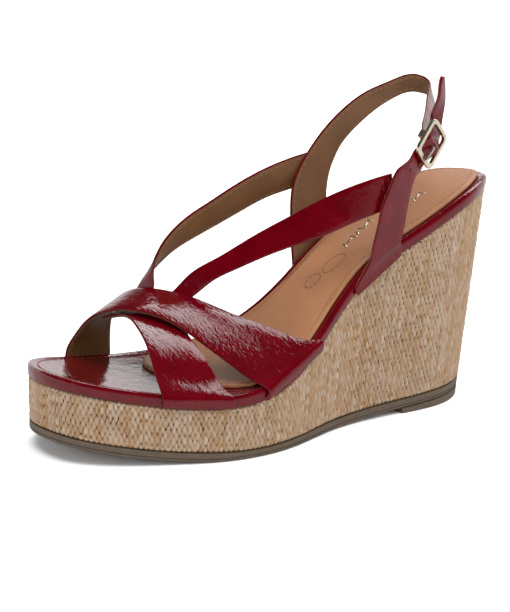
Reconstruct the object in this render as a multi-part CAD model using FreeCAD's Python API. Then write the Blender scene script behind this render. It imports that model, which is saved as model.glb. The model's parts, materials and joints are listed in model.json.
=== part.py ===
import FreeCAD, Part
import math
import os
from FreeCAD import Vector

# Wedge sandal, left foot.  Toe towards +X, outer (lateral) side towards +Y, up +Z, millimetres.
# Everything is laid out on a last whose heel end is at x = 0 with the ground at z = 0;
# at the end the whole sandal is moved so that its origin is the bottom centre of its box.

# ---- last and sole -------------------------------------------------------------------
last_length = 232.0          # heel end to toe end of the footbed, measured level
ball_half_width = 46.6       # widest reach of the outline from the heel-to-toe line
heel_seat_height = 93.8      # top of the woven wedge at the heel
platform_height = 23.6       # top of the woven wedge under the ball of the foot
toe_rise = 8.3               # how much the wedge top rises again from ball to toe
toe_spring = 8.0             # clearance of the sole's underside at the toe
heel_lean = 15.3             # how far the wedge's foot stands in from its top at the heel
outsole_thickness = 4.0
outsole_lip = 0.3            # outsole stands proud of the weave
tread_flat = 0.35            # how deep the rounded sole is worn flat where it stands
tread_pad_length = 66.0
tread_pad_height = 3.1
weave_thickness = 1.6
glue_line = 0.08             # gap left between bonded layers
weave_bond = 0.2             # gap between the woven cover and the core

# ---- footbed -------------------------------------------------------------------------
board_thickness = 2.0
board_margin = 3.4           # board edge to outline
foam_thickness = 1.7
rand_out = 0.7               # rand stands proud of the weave
rand_height = 5.3
rand_skin = 0.9              # patent leather over the footbed
sock_thickness = 1.7
sock_margin = 3.6
sock_front = 0.775           # where the sock ends, as a share of the last
shank_width = 12.0
shank_thickness = 1.0
shank_from = 0.16
shank_to = 0.58
fit_clearance = 0.15

# ---- straps --------------------------------------------------------------------------
leather = 0.9
lining = 0.6
strap_gap = 0.25             # between a strap and what it lies on
strap_thickness = leather + glue_line + lining
rim_reach = rand_out + strap_gap + strap_thickness

# ---- buckle --------------------------------------------------------------------------
buckle_length = 19.5         # along the strap
buckle_rim = 2.0             # seen width of the frame
strap_end_width = 10.2
strap_side_room = 0.6        # each side of the strap in the buckle's window
buckle_width = strap_end_width + 2 * (strap_side_room + buckle_rim)
buckle_depth = 1.6
buckle_corner = 3.4
bar_radius = 0.75
bar_drop = 2.0               # centre bar below the middle of the frame
eye_clearance = 0.06         # prong eye on the bar
loop_clearance = 0.3         # strap loop on the bar
loop_leather = 0.8
prong_radius = 0.7
prong_eye_width = 1.9
prong_slot = 0.4             # side room for the prong in loop and hole
hole_radius = 1.15
spare_hole_radius = 0.9
hole_spacing = 8.6

ALONG = (0.0, 0.03, 0.12, 0.27, 0.45, 0.60, 0.72, 0.84, 0.94, 0.985, 1.0)
OUTER = (0.0, 0.240, 0.533, 0.601, 0.712, 0.968, 1.0, 0.781, 0.489, 0.227, -0.100)
INNER = (0.0, -0.307, -0.530, -0.498, -0.311, -0.597, -0.910, -0.972, -0.785, -0.470, -0.100)
SEAT_AT = (0.0, 0.12, 0.25, 0.38, 0.50, 0.62, 0.80, 1.0)
SEAT_SHAPE = (1.0, 0.952, 0.774, 0.580, 0.279, 0.053, 0.0, 0.0)


def curve(points, closed=False):
    spline = Part.BSplineCurve()
    spline.interpolate(Points=points, PeriodicFlag=closed)
    return spline


def edge_curves(lines):
    """Two smooth edge lines that pass their own points at the same parameters."""
    steps = [0.0]
    for i in range(1, len(lines[0])):
        gap = sum((line[i] - line[i - 1]).Length for line in lines) / 2
        steps.append(steps[-1] + gap)
    edges = []
    for line in lines:
        spline = Part.BSplineCurve()
        spline.interpolate(Points=line, Parameters=steps)
        edges.append(spline)
    return edges


def height_curve(shares, heights):
    return curve([Vector(a * last_length, 0, h) for a, h in zip(shares, heights)])


def height_on(spline, x):
    line = Part.Line(Vector(x, 0, -500), Vector(x, 0, 500))
    hits = spline.intersect(line)
    return hits[0].Z


wedge_height = heel_seat_height - platform_height
seat_heights = [platform_height + wedge_height * s for s in SEAT_SHAPE]
seat_heights[-1] += toe_rise
seat = height_curve(SEAT_AT, seat_heights)
tread = height_curve((0.0, 0.22, 0.40, 0.58, 0.74, 0.87, 1.0),
                     (tread_pad_height, tread_pad_height, 1.0, -tread_flat, -tread_flat,
                      toe_spring * 0.3, toe_spring))
ground = height_curve((0.0, 0.3, 0.6, 1.0), (0.0, 0.0, 0.0, 0.0))


def outline_points():
    """The outline of the wedge's top, once round from the heel by the outer side."""
    outer = [Vector(a * last_length, w * ball_half_width, 0) for a, w in zip(ALONG, OUTER)]
    inner = [Vector(a * last_length, w * ball_half_width, 0) for a, w in zip(ALONG, INNER)]
    return outer + inner[-2:0:-1]


def lean_at(z):
    """How far the heel end stands in at height z; none at the heel seat."""
    return heel_lean * (1 - z / heel_seat_height)


def stand_up(p):
    """Where a point of the wedge's top comes when the leaning wall is followed to the heel seat's height."""
    lean = lean_at(height_on(seat, min(max(p.x, 0.01), last_length - 0.01)))
    return Vector((p.x - lean) / (1 - lean / last_length), p.y, 0)


rim_line = curve(outline_points(), True)
plan_line = curve([stand_up(p) for p in outline_points()], True)


def outline_wire(grow, z, count=56):
    """The sole's outline at height z, grown outwards by grow."""
    first, last = plan_line.FirstParameter, plan_line.LastParameter
    points = []
    for i in range(count):
        u = first + (last - first) * i / count
        way = plan_line.tangent(u)[0]
        p = plan_line.value(u) + Vector(-way.y, way.x, 0).normalize() * grow
        points.append(Vector(p.x + lean_at(z) * (1 - p.x / last_length), p.y, z))
    return Part.Wire([curve(points, True).toShape()])


def column(grow):
    """The sole's leaning side wall as a tall solid, from the ground up past the heel seat."""
    top_height = heel_seat_height + 30.0
    wall = [outline_wire(grow, -1.0), outline_wire(grow, top_height)]
    return Part.makeLoft(wall, True, True)


def slab(lower, low_shift, upper, high_shift, start=-12.0, end=None):
    """A solid between two side-view curves, wide enough to cut any column."""
    end = last_length + 12.0 if end is None else end
    count = 40
    xs = [start + (end - start) * i / count for i in range(count + 1)]
    inside = [min(max(x, 0.01), last_length - 0.01) for x in xs]
    low = [Vector(x, -90, height_on(lower, i) + low_shift) for x, i in zip(xs, inside)]
    high = [Vector(x, -90, height_on(upper, i) + high_shift) for x, i in zip(xs, inside)]
    bottom = curve(low).toShape()
    top = curve(high).toShape()
    front = Part.LineSegment(low[-1], high[-1]).toShape()
    back = Part.LineSegment(low[0], high[0]).toShape()
    face = Part.Face(Part.Wire([bottom, front, top, back]))
    return face.extrude(Vector(0, 180, 0))


def rim(share, side, reach, height):
    """A point beside the footbed: share along the last, reach outside the outline, height above the seat."""
    x = share * last_length
    toe = rim_line.parameter(Vector(last_length, OUTER[-1] * ball_half_width, 0))
    low = rim_line.FirstParameter if side > 0 else rim_line.LastParameter
    high = toe
    for _ in range(40):
        u = (low + high) / 2
        if rim_line.value(u).x < x:
            low = u
        else:
            high = u
    way = rim_line.tangent(u)[0]
    p = rim_line.value(u) + Vector(-way.y, way.x, 0).normalize() * reach
    return Vector(p.x, p.y, height_on(seat, x) + height)


def on_foot(share, across, height):
    """A point over the footbed: share along the last, across as a share of the ball's half width."""
    x = share * last_length
    return Vector(x, across * ball_half_width, height_on(seat, x) + height)


def ribbon(lines, outer, inner):
    """A strap between two edge lines, from outer to inner below its outer face."""
    edge_a, edge_b = edge_curves(lines)
    wires = []
    sections = 2 * (len(lines[0]) - 1)
    for i in range(sections + 1):
        t = edge_a.FirstParameter + i / sections * (edge_a.LastParameter - edge_a.FirstParameter)
        a, b = edge_a.value(t), edge_b.value(t)
        run = edge_a.tangent(t)[0] + edge_b.tangent(t)[0]
        up = (b - a).cross(run).normalize()
        corners = [a - up * outer, b - up * outer, b - up * inner, a - up * inner]
        wires.append(Part.makePolygon(corners + corners[:1]))
    return Part.makeLoft(wires, True, False)


def strap(lines):
    skin = ribbon(lines, 0.0, leather)
    back = ribbon(lines, leather + glue_line, strap_thickness)
    return skin, back


# ---- strap lines ---------------------------------------------------------------------
# Each pair of lists holds the two edges of a strap's outer face, as shares of the last's
# length, shares of the ball's half width, and height in millimetres above the wedge top.

OVER_FRONT = (
    (0.683, 0.970, 8.8), (0.701, 0.764, 14.2), (0.720, 0.582, 20.0), (0.747, 0.313, 27.9),
    (0.772, 0.054, 32.5), (0.797, -0.219, 33.1), (0.813, -0.472, 30.7), (0.829, -0.708, 25.1),
    (0.839, -0.923, 14.8))
OVER_REAR = (
    (0.539, 0.820, 7.7), (0.565, 0.633, 13.3), (0.595, 0.440, 20.3), (0.634, 0.193, 28.0),
    (0.672, -0.107, 34.9), (0.703, -0.386, 37.8), (0.724, -0.622, 37.6), (0.739, -0.826, 33.8),
    (0.747, -0.979, 22.7))
UNDER_FRONT = (
    (0.854, 0.676, 10.3), (0.845, 0.494, 18.6), (0.830, 0.258, 24.9), (0.815, 0.000, 28.5),
    (0.804, -0.236, 30.2), (0.802, -0.451, 28.7), (0.808, -0.644, 25.8))
UNDER_REAR = (
    (0.740, 0.912, 7.7), (0.743, 0.644, 17.8), (0.739, 0.322, 25.3), (0.720, 0.064, 29.0),
    (0.703, -0.193, 31.0), (0.698, -0.451, 32.0), (0.707, -0.665, 31.0))
MEDIAL_TOP = (
    (0.750, -0.494, 33.2), (0.724, -0.526, 34.6), (0.708, -0.533, 38.0), (0.709, -0.540, 43.5),
    (0.700, -0.548, 51.5), (0.675, -0.560, 58.2), (0.629, -0.569, 63.3), (0.580, -0.579, 63.7),
    (0.513, -0.592, 60.6), (0.461, -0.601, 55.4), (0.397, -0.605, 48.0), (0.328, -0.609, 42.0))
MEDIAL_LOW = (
    (0.767, -0.708, 30.2), (0.742, -0.735, 32.4), (0.725, -0.737, 34.6), (0.714, -0.730, 38.2),
    (0.693, -0.708, 43.0), (0.659, -0.678, 48.1), (0.609, -0.672, 50.1), (0.552, -0.665, 48.3),
    (0.483, -0.655, 43.0), (0.435, -0.644, 37.9), (0.379, -0.620, 31.6), (0.332, -0.592, 28.4))
LATERAL_TOP = (
    (0.728, -0.461, 34.5), (0.699, -0.356, 35.4), (0.665, -0.223, 44.0), (0.628, -0.077, 48.6),
    (0.573, 0.103, 52.4), (0.517, 0.268, 52.4), (0.458, 0.421, 49.4), (0.415, 0.517, 46.0),
    (0.367, 0.584, 42.1), (0.317, 0.601, 38.5))
LATERAL_LOW = (
    (0.716, -0.236, 33.9), (0.682, -0.163, 33.7), (0.644, -0.011, 40.5), (0.610, 0.118, 43.2),
    (0.556, 0.290, 43.4), (0.500, 0.444, 39.5), (0.448, 0.564, 34.2), (0.405, 0.629, 30.4),
    (0.362, 0.657, 26.9), (0.317, 0.635, 24.3))
QUARTER_FRONT = (
    (0.390, 0.730, 8.7), (0.379, 0.730, 14.6), (0.367, 0.727, 22.2), (0.355, 0.719, 29.7),
    (0.334, 0.700, 35.4), (0.309, 0.670, 40.2))
QUARTER_REAR = (
    (0.303, 0.672, 7.0), (0.295, 0.661, 10.8), (0.288, 0.648, 15.1), (0.280, 0.635, 20.4),
    (0.269, 0.616, 26.4), (0.254, 0.592, 30.1))
TIP_FRONT = ((0.205, 0.492, 49.9), (0.197, 0.543, 56.1), (0.192, 0.539, 61.0), (0.184, 0.521, 64.8))
TIP_REAR = ((0.170, 0.455, 44.8), (0.164, 0.451, 51.7), (0.166, 0.459, 57.9), (0.172, 0.485, 63.3))
SLING_LOW = (
    (0.303, -0.515, 9.0), (0.304, -0.536, 18.1), (0.293, -0.562, 28.1), (0.278, -0.579, 33.2),
    (0.258, -0.586, 37.7), (0.220, -0.592, 41.0), (0.172, -0.594, 42.8), (0.121, -0.590, 43.2),
    (0.080, -0.547, 42.2), (0.064, -0.450, 40.7), (0.073, -0.280, 40.2), (0.112, -0.043, 39.2),
    (0.153, 0.172, 38.0), (0.187, 0.365, 37.3))
SLING_TOP = (
    (0.404, -0.429, 11.5), (0.400, -0.472, 25.8), (0.385, -0.528, 36.0), (0.357, -0.556, 42.3),
    (0.312, -0.567, 49.0), (0.255, -0.579, 53.6), (0.196, -0.590, 54.2), (0.138, -0.592, 52.3),
    (0.082, -0.549, 50.9), (0.073, -0.386, 49.0), (0.099, -0.193, 46.6), (0.140, 0.032, 45.4),
    (0.182, 0.258, 45.1), (0.213, 0.429, 45.0))

# Where each strap goes into the sole: share along the last of its front and rear edge.
OVER_OUTER = (0.668, 0.523)
OVER_INNER = (0.844, 0.750)
UNDER_OUTER = (0.855, 0.735)
QUARTER_OUTER = (0.414, 0.300)
SLING_INNER = (0.407, 0.303)
HOLE_REACH = (-2.4, -0.8)    # the prong's slot, from the bar towards the prong's tip
RIM_FOOT = 0.15              # strap ends stand this far above the wedge top
RIM_TURN = rand_height - 0.3  # and leave the rand at this height


def at_rim(shares, side):
    """Front and rear points of a strap's foot and of where it leaves the rand."""
    foot = [rim(share, side, rim_reach, RIM_FOOT) for share in shares]
    turn = [rim(share, side, rim_reach + 0.1, RIM_TURN) for share in shares]
    return foot, turn


def over_strap_lines():
    outer, outer_turn = at_rim(OVER_OUTER, 1)
    inner, inner_turn = at_rim(OVER_INNER, -1)
    middle = [[on_foot(*p) for p in line] for line in (OVER_FRONT, OVER_REAR)]
    return [[outer[i], outer_turn[i]] + middle[i] + [inner_turn[i], inner[i]] for i in (0, 1)]


def under_strap_lines():
    outer, outer_turn = at_rim(UNDER_OUTER, 1)
    middle = [[on_foot(*p) for p in line] for line in (UNDER_FRONT, UNDER_REAR)]
    return [[outer[i], outer_turn[i]] + middle[i] for i in (0, 1)]


# ---- buckle frame of reference: u along the strap, w across it, n outwards -------------
buckle_centre = on_foot(0.213, 0.543, 38.7)
buckle_turn = math.radians(16.8)      # how far the buckle's plane turns in towards the heel
buckle_pitch = math.radians(43.0)     # how steeply the strap climbs back through it
u_way = Vector(-math.cos(buckle_pitch) * math.cos(buckle_turn),
               -math.cos(buckle_pitch) * math.sin(buckle_turn), math.sin(buckle_pitch))
n_way = Vector(-math.sin(buckle_turn), math.cos(buckle_turn), 0)
w_way = n_way.cross(u_way)
buckle_place = FreeCAD.Placement(FreeCAD.Matrix(
    u_way.x, w_way.x, n_way.x, buckle_centre.x,
    u_way.y, w_way.y, n_way.y, buckle_centre.y,
    u_way.z, w_way.z, n_way.z, buckle_centre.z,
    0, 0, 0, 1))


def in_buckle(u, w, n):
    return buckle_centre + u_way * u + w_way * w + n_way * n


window_half = buckle_length / 2 - buckle_rim
bar_end = buckle_width / 2 - buckle_rim
loop_radius = bar_radius + loop_clearance + loop_leather
strap_over_bar = -bar_drop + loop_radius + 0.2 + strap_thickness
swing_room = 1.02            # room for the frame to tilt over the strap
strap_under_frame = -buckle_depth / 2 - swing_room


def quarter_strap_lines():
    foot, turn = at_rim(QUARTER_OUTER, 1)
    lines = []
    slope = (strap_over_bar + strap_under_frame) / 2
    ways = ((QUARTER_FRONT, TIP_FRONT, 1), (QUARTER_REAR, TIP_REAR, -1))
    for i, (leg, tip, side) in enumerate(ways):
        half = side * strap_end_width / 2
        through = [in_buckle(-window_half - 4.2, half, strap_under_frame + 0.1),
                   in_buckle(-window_half - buckle_rim / 2, half, strap_under_frame),
                   in_buckle(-window_half / 2, half, slope),
                   in_buckle(0, half, strap_over_bar),
                   in_buckle(window_half / 2, half, slope),
                   in_buckle(window_half + buckle_rim / 2, half, strap_under_frame)]
        points = [foot[i], turn[i]] + [on_foot(*p) for p in leg] + through + [on_foot(*p) for p in tip]
        lines.append(points)
    return lines


def sling_strap_lines():
    foot, turn = at_rim(SLING_INNER, -1)
    low = [on_foot(*p) for p in SLING_LOW]
    top = [on_foot(*p) for p in SLING_TOP]
    bar = in_buckle(0, 0, -bar_drop)
    run = bar - (low[-1] + top[-1]) * 0.5
    out = w_way.cross(run).normalize()
    half = strap_end_width / 2
    low_end = bar + out * loop_radius - w_way * half
    top_end = bar + out * loop_radius + w_way * half
    return [[foot[1], turn[1]] + low + [low_end], [foot[0], turn[0]] + top + [top_end]]


def bar_cylinder(radius, half_length):
    """A cylinder round the buckle's centre bar."""
    return Part.makeCylinder(radius, 2 * half_length, in_buckle(0, -half_length, -bar_drop), w_way)


def rounded_plate(length, width, corner, low, high):
    """A round-cornered plate in the buckle's own frame, between two heights."""
    plate = Part.makeBox(length, width, high - low, Vector(-length / 2, -width / 2, low))
    upright = [e for e in plate.Edges if abs(e.tangentAt(e.FirstParameter).z) > 0.9]
    return plate.makeFillet(corner, upright)


def buckle_frame():
    outer = rounded_plate(buckle_length, buckle_width, buckle_corner, -buckle_depth / 2, buckle_depth / 2)
    rims = [e for e in outer.Edges if e.BoundBox.ZLength < 0.01]
    outer = outer.makeFillet(buckle_depth * 0.3, rims)
    inner = rounded_plate(2 * window_half, 2 * bar_end, buckle_corner - buckle_rim + 0.4,
                          -buckle_depth, buckle_depth)
    frame = outer.cut(inner)
    lug_low = -bar_drop - bar_radius - 0.5
    for side in (1, -1):
        middle = side * (bar_end + buckle_rim * 0.45)
        corner = Vector(-1.8, middle - buckle_rim * 0.35, lug_low)
        lug = Part.makeBox(3.6, buckle_rim * 0.7, -lug_low, corner)
        frame = frame.fuse(lug)
    frame = frame.removeSplitter()
    frame.Placement = buckle_place
    return frame.fuse(bar_cylinder(bar_radius, bar_end + buckle_rim * 0.3))


def rod(start, end, radius):
    way = end - start
    return Part.makeCylinder(radius, way.Length, start, way)


def buckle_prong():
    eye = bar_cylinder(bar_radius + eye_clearance + 0.95, prong_eye_width / 2)
    root = in_buckle(-0.9, 0, -bar_drop + bar_radius + 0.45)
    crest = in_buckle(-2.5, 0, strap_over_bar + prong_radius - 0.1)
    tip = in_buckle(-buckle_length / 2 + 0.5, 0, buckle_depth / 2 + prong_radius + 0.08)
    prong = eye.fuse([rod(root, crest, prong_radius), rod(crest, tip, prong_radius),
                      Part.makeSphere(prong_radius, crest), Part.makeSphere(prong_radius, tip)])
    prong = prong.cut(bar_cylinder(bar_radius + eye_clearance, buckle_width))
    return prong.removeSplitter()


def prong_hole():
    """The slot that the prong's swing needs in the quarter strap."""
    back, front = HOLE_REACH
    ends = [Part.makeCylinder(hole_radius, 12, in_buckle(u, 0, -4), n_way) for u in HOLE_REACH]
    middle = Part.makeBox(front - back, 2 * hole_radius, 12, Vector(back, -hole_radius, -4))
    middle.Placement = buckle_place
    return ends[0].fuse([ends[1], middle])


def spare_holes():
    """The punched holes before and after the one in use, a spacing apart along the strap."""
    front, rear = edge_curves(quarter_strap_lines())
    start, end = front.FirstParameter, front.LastParameter
    steps = [start + (end - start) * i / 600 for i in range(601)]
    middles = [(front.value(u) + rear.value(u)) * 0.5 for u in steps]
    bar = in_buckle(0, 0, strap_over_bar)
    at_bar = min(range(601), key=lambda i: (middles[i] - bar).Length)
    drills = []
    for count in (-2, -1, 1):
        reach = HOLE_REACH[0] + count * hole_spacing
        i = at_bar
        way = 1 if reach > 0 else -1
        walked = 0.0
        while walked < abs(reach):
            walked += (middles[i + way] - middles[i]).Length
            i += way
        across = rear.value(steps[i]) - front.value(steps[i])
        out = across.cross(front.tangent(steps[i])[0]).normalize()
        drills.append(Part.makeCylinder(spare_hole_radius, 8, middles[i] - out * 4, out))
    return drills


# ---- sole ------------------------------------------------------------------------------
def sole_parts():
    body = column(0.0)
    inside = column(-weave_thickness)
    core = column(-weave_thickness - weave_bond)
    tread_wall = column(outsole_lip)
    block = slab(tread, outsole_thickness + glue_line, seat, 0.0)
    parts = {}
    below = Part.makeBox(2 * last_length, 400, 50, Vector(-last_length / 2, -200, -50))
    parts["outsole"] = tread_wall.common(slab(tread, 0.0, tread, outsole_thickness)).cut(below)
    pad = slab(ground, -0.5, tread, -glue_line, -12.0, tread_pad_length)
    parts["heel_tread_pad"] = tread_wall.common(pad).cut(below)
    parts["wedge_core"] = core.common(block)
    parts["raffia_cover"] = body.common(block).cut(inside)
    return parts


def footbed_parts():
    low = glue_line
    board_top = low + board_thickness
    foam_low = board_top + glue_line
    foam_top = foam_low + foam_thickness
    cover_low = foam_top + glue_line
    board_wall = column(-board_margin)
    board = board_wall.common(slab(seat, low, seat, board_top))
    shank_low = low + (board_thickness - shank_thickness) / 2
    span = (shank_from * last_length, shank_to * last_length)
    shank = shank_solid(shank_width, shank_low, shank_low + shank_thickness, span)
    pocket = shank_solid(shank_width + 2 * fit_clearance, low - 1.0, shank_low + shank_thickness + 0.1,
                         (span[0] - fit_clearance, span[1] + fit_clearance))
    ring = column(rand_out).common(slab(seat, low, seat, rand_height))
    hollow = column(-board_margin + glue_line).common(slab(seat, low - 1.0, seat, cover_low))
    dish_block = slab(seat, cover_low + rand_skin, seat, rand_height + 3.0)
    dish = column(-sock_margin + glue_line).common(dish_block)
    sock_low = cover_low + rand_skin + glue_line
    sock = column(-sock_margin).common(slab(seat, sock_low, seat, sock_low + sock_thickness))
    parts = {}
    parts["insole_board"] = board.cut(pocket)
    parts["steel_shank"] = shank
    parts["insole_foam"] = board_wall.common(slab(seat, foam_low, seat, foam_top))
    parts["footbed_rand"] = ring.cut(hollow).cut(dish).cut(strap_seats())
    parts["sock_lining"] = sock.cut(sock_front_cutter())
    return parts


def strap_seats():
    """The room that the straps take where they press into the rand's side."""
    crossing = [over_strap_lines(), under_strap_lines(), quarter_strap_lines(), sling_strap_lines()]
    return [ribbon(lines, -strap_gap, strap_thickness + strap_gap) for lines in crossing]


def shank_solid(width, low, high, span):
    middle = (OUTER[3] + INNER[3]) * ball_half_width / 2
    plan = Part.makeBox(span[1] - span[0], width, 200, Vector(span[0], middle - width / 2, -50))
    return plan.common(slab(seat, low, seat, high))


def sock_front_cutter():
    """What lies ahead of the sock's rounded front edge."""
    reach = sock_front * last_length
    radius = ball_half_width * 0.8
    middle = -0.04 * ball_half_width
    ahead = Part.makeBox(last_length, 4 * ball_half_width, 260,
                         Vector(reach - radius, middle - 2 * ball_half_width, -30))
    keep = Part.makeCylinder(radius, 260, Vector(reach - radius, middle, -30))
    return ahead.cut(keep)


# ---- straps ----------------------------------------------------------------------------
def upper_parts():
    parts = {}
    pairs = {
        "vamp_strap_over": over_strap_lines(),
        "vamp_strap_under": under_strap_lines(),
        "medial_instep_strap": [[on_foot(*p) for p in MEDIAL_LOW], [on_foot(*p) for p in MEDIAL_TOP]],
        "lateral_instep_strap": [[on_foot(*p) for p in LATERAL_TOP], [on_foot(*p) for p in LATERAL_LOW]],
        "quarter_strap": quarter_strap_lines(),
        "slingback_strap": sling_strap_lines(),
    }
    for name, lines in pairs.items():
        skin, back = strap(lines)
        parts[name] = skin
        parts[name + "_lining"] = back
    return parts


def fit_straps_to_buckle(parts):
    holes = [prong_hole()] + spare_holes()
    for name in ("quarter_strap", "quarter_strap_lining"):
        parts[name] = parts[name].cut(holes)
    room = bar_cylinder(bar_radius + loop_clearance, strap_end_width)
    loop = bar_cylinder(loop_radius, strap_end_width / 2)
    half = prong_eye_width / 2 + prong_slot
    slot = Part.makeBox(12, 2 * half, 12, Vector(-5, -half, -bar_drop - 5))
    slot.Placement = buckle_place
    parts["slingback_strap"] = parts["slingback_strap"].fuse(loop).cut([room, slot])
    around = bar_cylinder(loop_radius + glue_line, strap_end_width)
    parts["slingback_strap_lining"] = parts["slingback_strap_lining"].cut([around, slot])


def main():
    os.makedirs("parts", exist_ok=True)
    parts = sole_parts()
    parts.update(footbed_parts())
    parts.update(upper_parts())
    fit_straps_to_buckle(parts)
    parts["buckle_frame"] = buckle_frame()
    parts["buckle_prong"] = buckle_prong()
    box = Part.makeCompound(list(parts.values())).optimalBoundingBox(False)
    shift = Vector(-(box.XMin + box.XMax) / 2, -(box.YMin + box.YMax) / 2, -box.ZMin)
    for name, shape in parts.items():
        shape.translate(shift)
        shape.exportStep("parts/" + name + ".step")
        size = shape.BoundBox
        print(name, shape.isValid(), len(shape.Solids), round(shape.Volume, 1),
              [round(v, 1) for v in (size.XMin, size.YMin, size.ZMin, size.XMax, size.YMax, size.ZMax)])
    bar = in_buckle(0, 0, -bar_drop) + shift
    print("size", [round(v, 2) for v in (box.XLength, box.YLength, box.ZLength)])
    print("shift", [round(v, 3) for v in shift])
    print("bar", [round(v, 3) for v in bar], "axis", [round(v, 5) for v in w_way])


main()
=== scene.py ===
import json
import math

import bmesh
import bpy
import numpy as np
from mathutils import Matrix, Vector


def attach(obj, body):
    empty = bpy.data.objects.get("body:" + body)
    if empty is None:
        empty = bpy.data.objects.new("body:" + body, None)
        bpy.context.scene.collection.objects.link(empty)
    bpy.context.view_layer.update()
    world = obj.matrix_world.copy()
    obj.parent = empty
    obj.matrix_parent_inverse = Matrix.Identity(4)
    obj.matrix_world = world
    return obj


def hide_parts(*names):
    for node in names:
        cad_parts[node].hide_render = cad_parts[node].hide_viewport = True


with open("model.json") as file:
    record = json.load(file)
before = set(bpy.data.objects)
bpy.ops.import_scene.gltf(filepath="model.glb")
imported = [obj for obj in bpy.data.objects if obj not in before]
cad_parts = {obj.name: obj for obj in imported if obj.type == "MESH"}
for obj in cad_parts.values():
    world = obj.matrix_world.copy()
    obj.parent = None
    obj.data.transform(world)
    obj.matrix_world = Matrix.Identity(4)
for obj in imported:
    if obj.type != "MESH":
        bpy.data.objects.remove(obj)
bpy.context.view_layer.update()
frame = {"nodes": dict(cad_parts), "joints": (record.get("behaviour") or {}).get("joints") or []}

# ---- wedge core --------------------------------------------------------------------------
# The body of the wedge: one block of light expanded foam, cut and ground to the last's outline.
# It is glued between the outsole and the insole board, and the woven cover hides it.

# Lengths in this file are millimetres on the last, whose heel end is at x = 0; the last step
# of each piece turns them to metres in the frame.

last_length = 232.0
ball_half_width = 46.6
heel_seat_height = 93.8
platform_height = 23.6
toe_rise = 8.3
toe_spring = 8.0
heel_lean = 15.3
outsole_thickness = 4.0
outline_along = (0.0, 0.03, 0.12, 0.27, 0.45, 0.60, 0.72, 0.84, 0.94, 0.985, 1.0)
outline_outer = (0.0, 0.240, 0.533, 0.601, 0.712, 0.968, 1.0, 0.781, 0.489, 0.227, -0.100)
outline_inner = (0.0, -0.307, -0.530, -0.498, -0.311, -0.597, -0.910, -0.972, -0.785, -0.470, -0.100)
seat_at = (0.0, 0.12, 0.25, 0.38, 0.50, 0.62, 0.80, 1.0)
seat_shape = (1.0, 0.952, 0.774, 0.580, 0.279, 0.053, 0.0, 0.0)


def walked_along(points):
    """The distance walked at each point of a line."""
    return np.concatenate([[0], np.cumsum(np.linalg.norm(np.diff(points, axis=0), axis=1))])


def unit(rows):
    """Each row brought to length one."""
    return rows / np.linalg.norm(rows, axis=-1)[..., None]


def spline(points, steps=None, closed=False):
    """A smooth line through points. Returns its last parameter and a function for places and slopes."""
    points = np.array(points, float)
    if closed:
        points = np.vstack([points, points[:1]])
    if steps is None:
        steps = walked_along(points)
    h = np.diff(steps)
    rise = np.diff(points, axis=0) / h[:, None]
    count = len(points)
    system = np.zeros((count, count))
    right = np.zeros(points.shape)
    for i in range(1, count - 1):
        system[i, i - 1:i + 2] = h[i - 1], 2 * (h[i - 1] + h[i]), h[i]
        right[i] = 6 * (rise[i] - rise[i - 1])
    if closed:
        system[0, 0], system[0, -1] = 1, -1
        system[-1, 0], system[-1, 1] = 2 * h[0], h[0]
        system[-1, -1], system[-1, -2] = 2 * h[-1], h[-1]
        right[-1] = 6 * (rise[0] - rise[-1])
    else:
        system[0, :3] = h[1], -h[0] - h[1], h[0]
        system[-1, -3:] = h[-1], -h[-1] - h[-2], h[-2]
    bend = np.linalg.solve(system, right)

    def at(t):
        t = np.asarray(t, float)
        i = np.clip(np.searchsorted(steps, t, side="right") - 1, 0, count - 2)
        span = h[i][..., None]
        b = (t - steps[i])[..., None] / span
        a = 1 - b
        place = a * points[i] + b * points[i + 1]
        place = place + ((a ** 3 - a) * bend[i] + (b ** 3 - b) * bend[i + 1]) * span ** 2 / 6
        slope = rise[i] + ((3 * b ** 2 - 1) * bend[i + 1] - (3 * a ** 2 - 1) * bend[i]) * span / 6
        return place, slope

    return steps[-1], at


def height_line(shares, heights):
    """Height over the last's length, as a function of x."""
    end, at = spline([(a * last_length, h) for a, h in zip(shares, heights)])
    line = at(np.linspace(0, end, 600))[0]
    return lambda x: np.interp(x, line[:, 0], line[:, 1])


seat_heights = [platform_height + (heel_seat_height - platform_height) * s for s in seat_shape]
seat_heights[-1] += toe_rise
seat = height_line(seat_at, seat_heights)
tread_pad_height = 3.1
tread_flat = 0.35
tread = height_line((0.0, 0.22, 0.40, 0.58, 0.74, 0.87, 1.0),
                    (tread_pad_height, tread_pad_height, 1.0, -tread_flat, -tread_flat,
                     toe_spring * 0.3, toe_spring))


def lean_at(z):
    return heel_lean * (1 - z / heel_seat_height)


def outline_points():
    outer = [(a * last_length, w * ball_half_width) for a, w in zip(outline_along, outline_outer)]
    inner = [(a * last_length, w * ball_half_width) for a, w in zip(outline_along, outline_inner)]
    return outer + inner[-2:0:-1]


def stand_up(p):
    """Where an outline point comes when the leaning wall is followed up to the heel seat."""
    lean = lean_at(float(seat(p[0])))
    return ((p[0] - lean) / (1 - lean / last_length), p[1])


def halves(points):
    """The outer and inner half of a closed outline, evenly spaced from heel to toe, with outward normals."""
    end, at = spline(points, closed=True)
    t = np.linspace(0, end, 4001)
    place, slope = at(t)
    normal = unit(np.stack([-slope[:, 1], slope[:, 0]], 1))
    toe = int(np.argmin(np.linalg.norm(place - np.array(points[len(outline_along) - 1]), axis=1)))
    found = []
    for piece in (slice(toe, None), slice(0, toe + 1)):
        p, n = place[piece], normal[piece]
        if piece.start:
            p, n = p[::-1], n[::-1]
        run = walked_along(p)
        found.append((run / run[-1], p, n, run[-1]))
    return found


inner_half, outer_half = halves([stand_up(p) for p in outline_points()])
rim_inner, rim_outer = halves(outline_points())


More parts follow.
